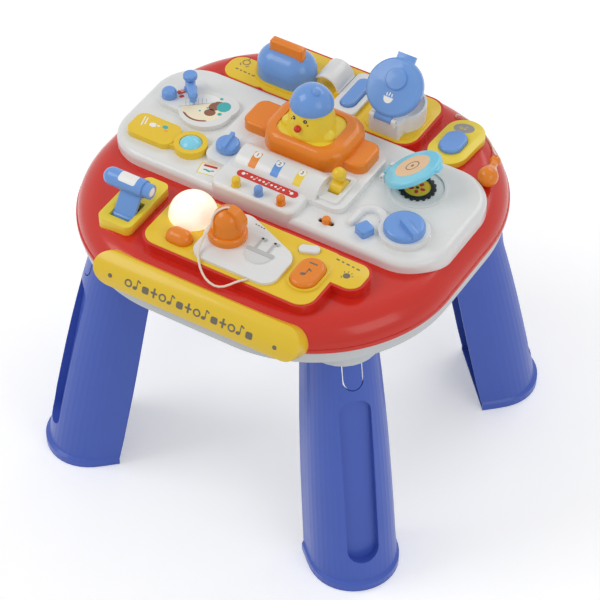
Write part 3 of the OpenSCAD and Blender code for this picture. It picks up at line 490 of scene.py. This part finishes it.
def loop(x, y, r, width, squeeze=1.0, sides=48):
    """A flat ring, given by its outer radius and its width."""
    obj = spot(0, 0, r, 1.0, 0, sides)
    bpy.ops.object.mode_set(mode="EDIT")
    bpy.ops.mesh.select_all(action="SELECT")
    bpy.ops.mesh.inset(thickness=width * MM)
    bpy.ops.mesh.delete(type="FACE")
    bpy.ops.object.mode_set(mode="OBJECT")
    obj.scale.y = squeeze
    obj.location = (x * MM, y * MM, 0)
    return settle(obj)


def trim(obj, x, y, direction):
    """Cuts away what lies beyond a line through x, y, on the side that direction (degrees) points to."""
    activate(obj)
    a = math.radians(direction)
    bpy.ops.object.mode_set(mode="EDIT")
    bpy.ops.mesh.select_all(action="SELECT")
    bpy.ops.mesh.bisect(plane_co=(x * MM, y * MM, 0), plane_no=(math.cos(a), math.sin(a), 0), clear_outer=True,
                        use_fill=False)
    bpy.ops.object.mode_set(mode="OBJECT")
    return obj


def numeral(figure, x, y, size, turn=0.0):
    deselect()
    bpy.ops.object.text_add()
    obj = bpy.context.object
    obj.data.body = figure
    obj.data.size = size * MM
    obj.data.align_x = "CENTER"
    obj.data.align_y = "CENTER"
    obj.data.offset = 0.02 * size * MM
    bpy.ops.object.convert(target="MESH")
    obj = bpy.context.object
    obj.rotation_euler.z = math.radians(turn)
    obj.location = (x * MM, y * MM, 0)
    return settle(obj)


def tune(x, y, size, turn=0.0):
    """A musical note: a tilted oval head, its stem and a short flag."""
    a = math.radians(turn)

    def at(u, v):
        return x + (u * math.cos(a) - v * math.sin(a)) * size, y + (u * math.sin(a) + v * math.cos(a)) * size
    return [spot(*at(-0.2, -0.38), 0.24 * size, 0.75, turn + 20, 20),
            tile(*at(0.0, 0.06), 0.1 * size, 0.86 * size, 0, turn),
            tile(*at(0.16, 0.36), 0.38 * size, 0.15 * size, 0.04 * size, turn - 28)]


def slice_across(obj, step):
    """Cuts a flat print at every step along y, so that it can follow a round face."""
    rows = [v.co.y for v in obj.data.vertices]
    y = min(rows) + step
    bpy.ops.object.mode_set(mode="EDIT")
    while y < max(rows) - step / 4:
        bpy.ops.mesh.select_all(action="SELECT")
        bpy.ops.mesh.bisect(plane_co=(0, y, 0), plane_no=(0, 1, 0))
        y += step
    bpy.ops.object.mode_set(mode="OBJECT")


def print_on(name, flats, level, material, body="table", lift=0.15, wrap=None, sink=0.12):
    """Joins flat shapes, gives them the thickness of a print and sets them at a level or round a surface."""
    activate(flats[0])
    for flat in flats[1:]:
        flat.select_set(True)
    if len(flats) > 1:
        bpy.ops.object.join()
    obj = bpy.context.object
    bpy.ops.object.mode_set(mode="EDIT")
    bpy.ops.mesh.select_all(action="SELECT")
    bpy.ops.mesh.remove_doubles(threshold=1e-6)
    bpy.ops.object.mode_set(mode="OBJECT")
    if wrap:
        slice_across(obj, 1.6 * MM)
    activate(obj)
    bpy.ops.object.mode_set(mode="EDIT")
    bpy.ops.mesh.select_all(action="SELECT")
    bpy.ops.mesh.extrude_region_move(TRANSFORM_OT_translate={"value": (0, 0, (lift + sink) * MM)})
    bpy.ops.mesh.select_all(action="SELECT")
    bpy.ops.mesh.normals_make_consistent(inside=False)
    bpy.ops.object.mode_set(mode="OBJECT")
    for v in obj.data.vertices:
        p = v.co + Vector((0, 0, -sink * MM))
        v.co = wrap(p) if wrap else p + Vector((0, 0, level))
    return finish_piece(obj, name, material, body)


def finish_piece(obj, name, material, body="table", angle=32):
    obj.name = name
    paint(obj, material)
    activate(obj)
    bpy.ops.object.shade_smooth_by_angle(angle=math.radians(angle))
    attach(obj, body)
    return obj


BAR_AXIS = Vector((0, -(TOP_W / 2 - RIM_R), LIP_Z))
BAR_R = RIM_R + 0.0045


def round_bar(p):
    """From the flat, x along the bar and y up it from its lower lettering line, to the bar's face."""
    a = math.radians(14) + p.y / BAR_R
    r = BAR_R + p.z
    return BAR_AXIS + Vector((p.x, -r * math.cos(a), r * math.sin(a)))


def over_hump(p):
    """From the flat, y measured back from the ridge, to the console's hump."""
    r = HUMP_R + p.z
    a = p.y / HUMP_R
    return Vector((p.x, HUMP_AXIS[0] + r * math.sin(a), HUMP_AXIS[1] + r * math.cos(a)))


def on_drum(p):
    """From the flat, y measured back from the top line, to the roller's drum."""
    r = DRUM_R + p.z
    a = p.y / DRUM_R
    return Vector((p.x, DRUM_Y + r * math.sin(a), DRUM_AXIS_Z + r * math.cos(a)))


def swung(axis, at, degrees):
    """A mapping that swings a point of a closed lid about its hinge to where the lid stands open."""
    turn = Matrix.Translation(at) @ Matrix.Rotation(math.radians(degrees), 4, axis) @ Matrix.Translation(-Vector(at))
    return lambda p, level: turn @ Vector((p.x, p.y, level + p.z))


POT_PIN = Vector((0, 0.116, BACK_Z + 0.027))
open_pot = swung("X", POT_PIN, 45)
PEEK_PIN = Vector((0.1025, 0, DECK_Z + 0.006))
open_peek = swung("Y", PEEK_PIN, -28)

# front bar: a row of plain signs with a dot at each end
signs = []
for i, x in enumerate(range(-82, 96, 12)):
    kind = i % 4
    if kind == 0:
        signs.append(loop(x, 5.0, 5.2, 2.1, 1.0, 28))
    elif kind == 1:
        signs += tune(x, 7.2, 13)
    elif kind == 2:
        signs.append(tile(x, 4.8, 9.2, 9.2, 2.6))
    else:
        signs += [tile(x, 6.0, 2.7, 12.8, 1.2), tile(x, 6.0, 9.4, 2.7, 1.2)]
print_on("bar_signs", signs, 0, ink, wrap=round_bar)
print_on("bar_dots", [spot(-108, 4.6, 2.9, 1, 0, 28), spot(121, 3.9, 2.9, 1, 0, 28)], 0, ink,
         wrap=round_bar)

# front panel: sun sign, a short row of dashes, the note on the music button
sun = [spot(148.5, -124, 4.4)]
for a in (20, 60, 100, 140):
    sun.append(tile(148.5 + 7 * math.cos(math.radians(a)), -124 + 7 * math.sin(math.radians(a)), 2.6, 1.0, 0.4, a))
sun.append(tile(144, -128.5, 1.0, 4.0, 0.4, 40))
print_on("sun_sign", sun, FRONT_Z, ink)
print_on("panel_dashes", [tile(126 + 7.2 * i, -105.5 - 0.6 * i, 5.0 - (i % 2) * 1.6, 2.0, 0.9, -6) for i in range(5)],
         FRONT_Z, ink)
print_on("music_sign", tune(110, -150.5, 13, 0) + [tile(110, -134.5, 11, 2.2, 0.9, 0)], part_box("music_button")[1].z,
         ink, "music_button")
print_on("plug_face", [trim(spot(44, -150, 16.5, 1, 0, 48), 44, -151, 90)], PLUG_FACE_Z,
         printed("relief_grey", srgb(216, 218, 218)), lift=0.5)
print_on("plug_collar", [tile(44, -147, 37.6, 6.4, 2.6)], PLUG_FACE_Z, pale_ink, lift=0.7)
print_on("plug_prongs", [tile(35, -134, 3.4, 19, 1.2), tile(52, -134, 3.4, 19, 1.2), tile(37, -125.5, 7.4, 3.4, 1.2),
                         tile(54, -125.5, 7.4, 3.4, 1.2)], PLUG_FACE_Z, pale_ink, lift=0.5)
print_on("plug_label", [tile(14 + 4 * i, -107.5 - 0.5 * i, 2.4, 1.6, 0.5, -8) for i in range(4)], PLUG_Z,
         ink)

# console: three numbered tags on the hump and white dots on the red strip
for number, x, tag_ink, slot in (("1", -36.2, orange_ink, "orange"), ("2", -4.9, blue_ink, "light_blue"),
                                 ("3", 26.7, yellow_ink, "yellow")):
    print_on("tag_" + number, [tile(x, -10.0, 10.4, 23, 1.6)], 0, tag_ink, wrap=over_hump)
    print_on("tag_disc_" + number, [spot(x, -3.2, 4.7)], 0, white_ink, wrap=over_hump, lift=0.25)
    print_on("tag_number_" + number, [numeral(number, x, -3.2, 7.2)], 0, ink, wrap=over_hump,
             lift=0.35)
STRIP_Y = -48.6
strip_bar = print_on("console_strip_bar", [tile(-7, STRIP_Y, 84.8, 10.8, 5.35)], BOX_Z, red, lift=1.0)
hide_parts("console_strip")
strip = [spot(-41.0, STRIP_Y + 0.2, 2.3, 1, 0, 24), spot(-36.9, STRIP_Y + 2, 0.9, 1, 0, 16),
         spot(27.0, STRIP_Y - 0.2, 2.3, 1, 0, 24), spot(23.1, STRIP_Y + 1.9, 0.9, 1, 0, 16)]
for i in range(9):
    x = -29.0 + 5.6 * i
    strip += tune(x, STRIP_Y, 5.8) if i % 3 == 1 else [spot(x, STRIP_Y - 0.2, 1.6, 1, 0, 16)]
print_on("strip_dots", strip, STRIP_TOP_Z, white_ink)

# label beside the console
STICKER = (-86.5, -55.0)
sx, sy = STICKER
print_on("sticker_rim", [tile(sx, sy, 26, 20, 1.5, 10)], DECK_Z, yellow_ink, lift=0.08)
print_on("sticker_face", [tile(sx, sy, 23.4, 17.4, 1.0, 10)], DECK_Z, white_ink, lift=0.14)
print_on("sticker_bar", [tile(sx - 0.9, sy + 5.6, 18, 3.6, 1.6, 10)], DECK_Z, red_ink, lift=0.2)
print_on("sticker_wave", [spot(sx - 4, sy - 2.5, 2.6, 0.5, 20, 20), spot(sx + 0.5, sy - 2.7, 3.4, 0.45, -4, 20),
                          spot(sx + 5, sy - 0.6, 2.6, 0.45, 24, 20)], DECK_Z, teal_ink, lift=0.2)

# wash basin print: cream dish, striped towel, brown soap and teal bubbles
WASH_Z = PLATE_Z - 0.001
print_on("wash_dish", [spot(-150, 31, 27, 0.98, 0, 64)], WASH_Z, cream_ink, lift=0.1)
towel = trim(spot(-150, 31, 25.4, 1, 0, 64), -160, 33, -50)
print_on("wash_towel", [towel], WASH_Z, white_ink, lift=0.16)
stripes = []
for i in range(6):
    along = -13 + 5.2 * i
    length = 13 - abs(i - 2.5) * 2.2
    stripes.append(tile(-163.5 + along * math.cos(math.radians(40)), 36 + along * math.sin(math.radians(40)),
                        length, 0.7, 0.3, 122))
stripes.append(tile(-159.5, 32.4, 47, 0.8, 0.3, 40))
print_on("towel_stripes", stripes, WASH_Z, pale_ink, lift=0.22)
print_on("wash_soap", [spot(-137.5, 42, 10.5, 0.72, 62, 32), spot(-138, 27.5, 7.2, 0.9, 30, 32)], WASH_Z, brown_ink,
         lift=0.16)
print_on("wash_soap_foot", [trim(loop(-150, 31, 26.2, 2.6, 1, 64), -150, 12, 90)], WASH_Z, brown_ink,
         lift=0.16)
print_on("wash_bubbles", [spot(-128.5, 45, 8.6, 1.1, 0, 32), spot(-139, 56.5, 2.2, 1, 0, 20),
                          spot(-126, 31, 2.8, 1, 0, 20)], WASH_Z, teal_ink, lift=0.2)
print_on("wash_drops", [spot(-150.5, 24, 1.5, 1, 0, 18), spot(-145, 33.5, 1.5, 1, 0, 18)], WASH_Z, teal_ink,
         lift=0.2)
print_on("wash_mark", [tile(-189, 43, 12, 7.5, 2.2, 60), tile(-184.5, 35.5, 6, 5, 1.4, 60)], WASH_Z, red_ink,
         lift=0.12)
print_on("wash_mark_lines", [tile(-190.5, 45.5, 5, 0.9, 0.4, 60), tile(-188.4, 44.3, 5, 0.9, 0.4, 60)], WASH_Z,
         white_ink, lift=0.2)

# bottle: white drop and dashes, teal dot
print_on("bottle_signs", [spot(-184.5, -29, 4.8, 0.78, 10, 28), tile(-178, -27.4, 5.4, 2.2, 1.0, 14),
                          tile(-199, -28.5, 1.5, 17, 0.6, 14), tile(-195.4, -27.2, 1.5, 13, 0.6, 14)], PLATE_Z,
         white_ink)
print_on("bottle_dot", [spot(-169, -25, 3.7, 0.85, 10, 28)], PLATE_Z, teal_ink)
print_on("bottle_dash", [tile(-164.7, -30.3, 4.4, 1.3, 0.5, 14)], PLATE_Z, orange_ink)

# back panels: plain grey signs
leaf = [loop(-159, 146, 5.2, 1.1, 1, 28), tile(-159, 153, 1.2, 5, 0.4), tile(-164, 139.5, 1.2, 4.5, 0.4, 35),
        tile(-154, 139.5, 1.2, 4.5, 0.4, -35)]
print_on("back_sign", leaf, BACK_Z, ink)
print_on("back_dashes", [tile(-163 + 6.2 * i, 129.5 - 0.3 * i, 4.4 - (i % 2) * 1.4, 2.0, 0.8) for i in range(6)],
         BACK_Z, ink)
oval_ink = printed("oval_ink", srgb(152, 150, 148))
print_on("bean_oval", [spot(136, 181.5, 13.2, 0.66, 18, 40)], BEAN_Z, oval_ink, lift=0.1)
print_on("bean_sign", [loop(132.6, 180.4, 2.2, 0.7, 1, 20)] + tune(138, 182.4, 5.6, 18), BEAN_Z, yellow_ink)

# pot lid: a bowl with steam
bowl = [trim(spot(57, 140.4, 6.0, 1, 0, 36), 57, 140.6, 90), tile(57, 141.4, 13.4, 1.5, 0.7),
        tile(53.6, 145.2, 1.4, 4.2, 0.6, 10), tile(57, 146.0, 1.4, 5.0, 0.6, -8), tile(60.6, 145.2, 1.4, 4.2, 0.6, 10)]
print_on("lid_bowl_sign", bowl, 0, white_ink, "pot_lid", wrap=lambda p: open_pot(p, POT_LID_Z))

# round lid: peach disc with a ring and a dot
print_on("lid_peach", [spot(142, 52, 22.5, 1, 0, 56)], 0, printed("peach_ink", srgb(244, 205, 160)),
         "peek_lid", wrap=lambda p: open_peek(p, PEEK_LID_Z))
print_on("lid_rings", [loop(142, 52, 9, 1.2, 1, 36), spot(142, 52, 2.2, 1, 0, 20)], 0, ink,
         "peek_lid", lift=0.25, wrap=lambda p: open_peek(p, PEEK_LID_Z))

# disc in the scalloped ring: red petals round a small middle
petals = [spot(146 + 7.4 * math.cos(math.radians(a)), 47 + 7.4 * math.sin(math.radians(a)), 3.4, 0.7, a, 20)
          for a in range(0, 360, 72)]
print_on("disc_petals", petals, DISC_TOP_Z, red_ink)
print_on("disc_middle", [spot(146, 47, 2.2, 1, 0, 20)], DISC_TOP_Z, black_ink)

# roller: white label round the drum and a white end
print_on("drum_label", [tile(-139.5, -2, 24, 17, 3)], 0, white_ink, "roller_lever", wrap=on_drum)

# ---------- small raised pieces ----------


def bead(name, at, outward, r, flat, material, body="table"):
    """A lens-shaped bead that sits on a surface: a ball cut near its middle and pressed flat."""
    deselect()
    bpy.ops.mesh.primitive_uv_sphere_add(segments=28, ring_count=16, radius=r * MM)
    obj = bpy.context.object
    bpy.ops.object.mode_set(mode="EDIT")
    bpy.ops.mesh.select_all(action="SELECT")
    bpy.ops.mesh.bisect(plane_co=(0, 0, -0.25 * r * MM), plane_no=(0, 0, 1), clear_inner=True, use_fill=True)
    bpy.ops.object.mode_set(mode="OBJECT")
    obj.scale.z = flat
    obj.rotation_euler = Vector(outward).to_track_quat("Z", "Y").to_euler()
    obj.location = Vector(at)
    settle(obj)
    return finish_piece(obj, name, material, body)


def on_chick(turn, height):
    """A point of the chick's face and its outward direction.

    turn is in degrees from straight ahead, height in millimetres above the plate.
    """
    r = 0.0315 - 0.0065 * (height - 26) / 34
    a = math.radians(turn)
    outward = Vector((math.sin(a), -math.cos(a), 0.0065 / 0.034)).normalized()
    return Vector((-0.002 + r * math.sin(a), 0.046 - r * math.cos(a), PLATE_Z + height * MM)), outward


for side, turn, height in (("left", -23, 52), ("right", 13, 53.2)):
    spot_at, outward = on_chick(turn, height)
    bead("chick_eye_" + side, spot_at, outward, 2.5, 0.5, black_ink, "chick")
    bead("chick_eye_shine_" + side, spot_at + outward * 0.0011 + Vector((0.0005, 0, 0.0008)), outward, 0.6, 0.5,
         white_ink, "chick")

for side, turn, height in (("left", -33, 47.5), ("right", 20, 48.5)):
    spot_at, outward = on_chick(turn, height)
    bead("chick_cheek_" + side, spot_at, outward, 1.3, 0.4, red_ink, "chick")

# lens in the end of the roller's drum
drum_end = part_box("roller_lever")[1].x
bead("drum_lens", (drum_end - 0.0004, DRUM_Y, DRUM_AXIS_Z), (1, 0, 0), 6.2, 0.32, white, "roller_lever")

# ---------- light and floor ----------


def softbox(name, at, to, size, power):
    light = bpy.data.lights.new(name, "AREA")
    light.shape = "RECTANGLE"
    light.size, light.size_y = size
    light.energy = power
    obj = bpy.data.objects.new(name, light)
    bpy.context.scene.collection.objects.link(obj)
    obj.location = at
    obj.rotation_euler = (Vector(to) - Vector(at)).to_track_quat("-Z", "Y").to_euler()


softbox("key_left", (-1.5, -1.0, 2.2), (0, 0, 0.35), (1.3, 1.3), 19)
softbox("fill_right", (1.9, -0.6, 1.4), (0, 0, 0.3), (1.2, 1.2), 8)
softbox("back_top", (0.3, 1.8, 2.0), (0, 0, 0.4), (1.6, 0.8), 9)

def seen_rays(tree):
    """A socket that is 1 for what the camera sees, directly or in a gloss or a clear piece."""
    rays = tree.nodes.new("ShaderNodeLightPath")
    total = rays.outputs["Is Camera Ray"]
    for kind in ("Is Glossy Ray", "Is Transmission Ray"):
        both = tree.nodes.new("ShaderNodeMath")
        both.operation = "MAXIMUM"
        tree.links.new(total, both.inputs[0])
        tree.links.new(rays.outputs[kind], both.inputs[1])
        total = both.outputs[0]
    return total


world = bpy.data.worlds.new("studio")
bpy.context.scene.world = world
world.use_nodes = True
tree = world.node_tree
sky_light = tree.nodes["Background"]
sky_light.inputs["Color"].default_value = (1, 1, 1, 1)
sky_light.inputs["Strength"].default_value = 0.5
paper = tree.nodes.new("ShaderNodeBackground")
paper.inputs["Color"].default_value = (1, 1, 1, 1)
paper.inputs["Strength"].default_value = 1.0
pick = tree.nodes.new("ShaderNodeMixShader")
tree.links.new(seen_rays(tree), pick.inputs[0])
tree.links.new(sky_light.outputs[0], pick.inputs[1])
tree.links.new(paper.outputs[0], pick.inputs[2])
tree.links.new(pick.outputs[0], tree.nodes["World Output"].inputs["Surface"])

deselect()
bpy.ops.mesh.primitive_plane_add(size=12, location=(0, 0, -0.0005))
floor = bpy.context.object
floor.name = "floor"
floor_shader = Shader("floor_paper")
floor_shader.set(Base_Color=(0.93, 0.93, 0.93, 1), Roughness=0.6 + floor_shader.noise(3.0) * 0.05)
glow = floor_shader.tree.nodes.new("ShaderNodeEmission")
glow.inputs["Strength"].default_value = 0.3
lifted = floor_shader.tree.nodes.new("ShaderNodeAddShader")
choose = floor_shader.tree.nodes.new("ShaderNodeMixShader")
floor_links = floor_shader.tree.links
floor_links.new(floor_shader.bsdf.outputs[0], lifted.inputs[0])
floor_links.new(glow.outputs[0], lifted.inputs[1])
floor_links.new(seen_rays(floor_shader.tree), choose.inputs[0])
floor_links.new(floor_shader.bsdf.outputs[0], choose.inputs[1])
floor_links.new(lifted.outputs[0], choose.inputs[2])
floor_links.new(choose.outputs[0], floor_shader.tree.nodes["Material Output"].inputs["Surface"])
paint(floor, floor_shader.material)

bpy.context.scene.view_settings.view_transform = "Standard"
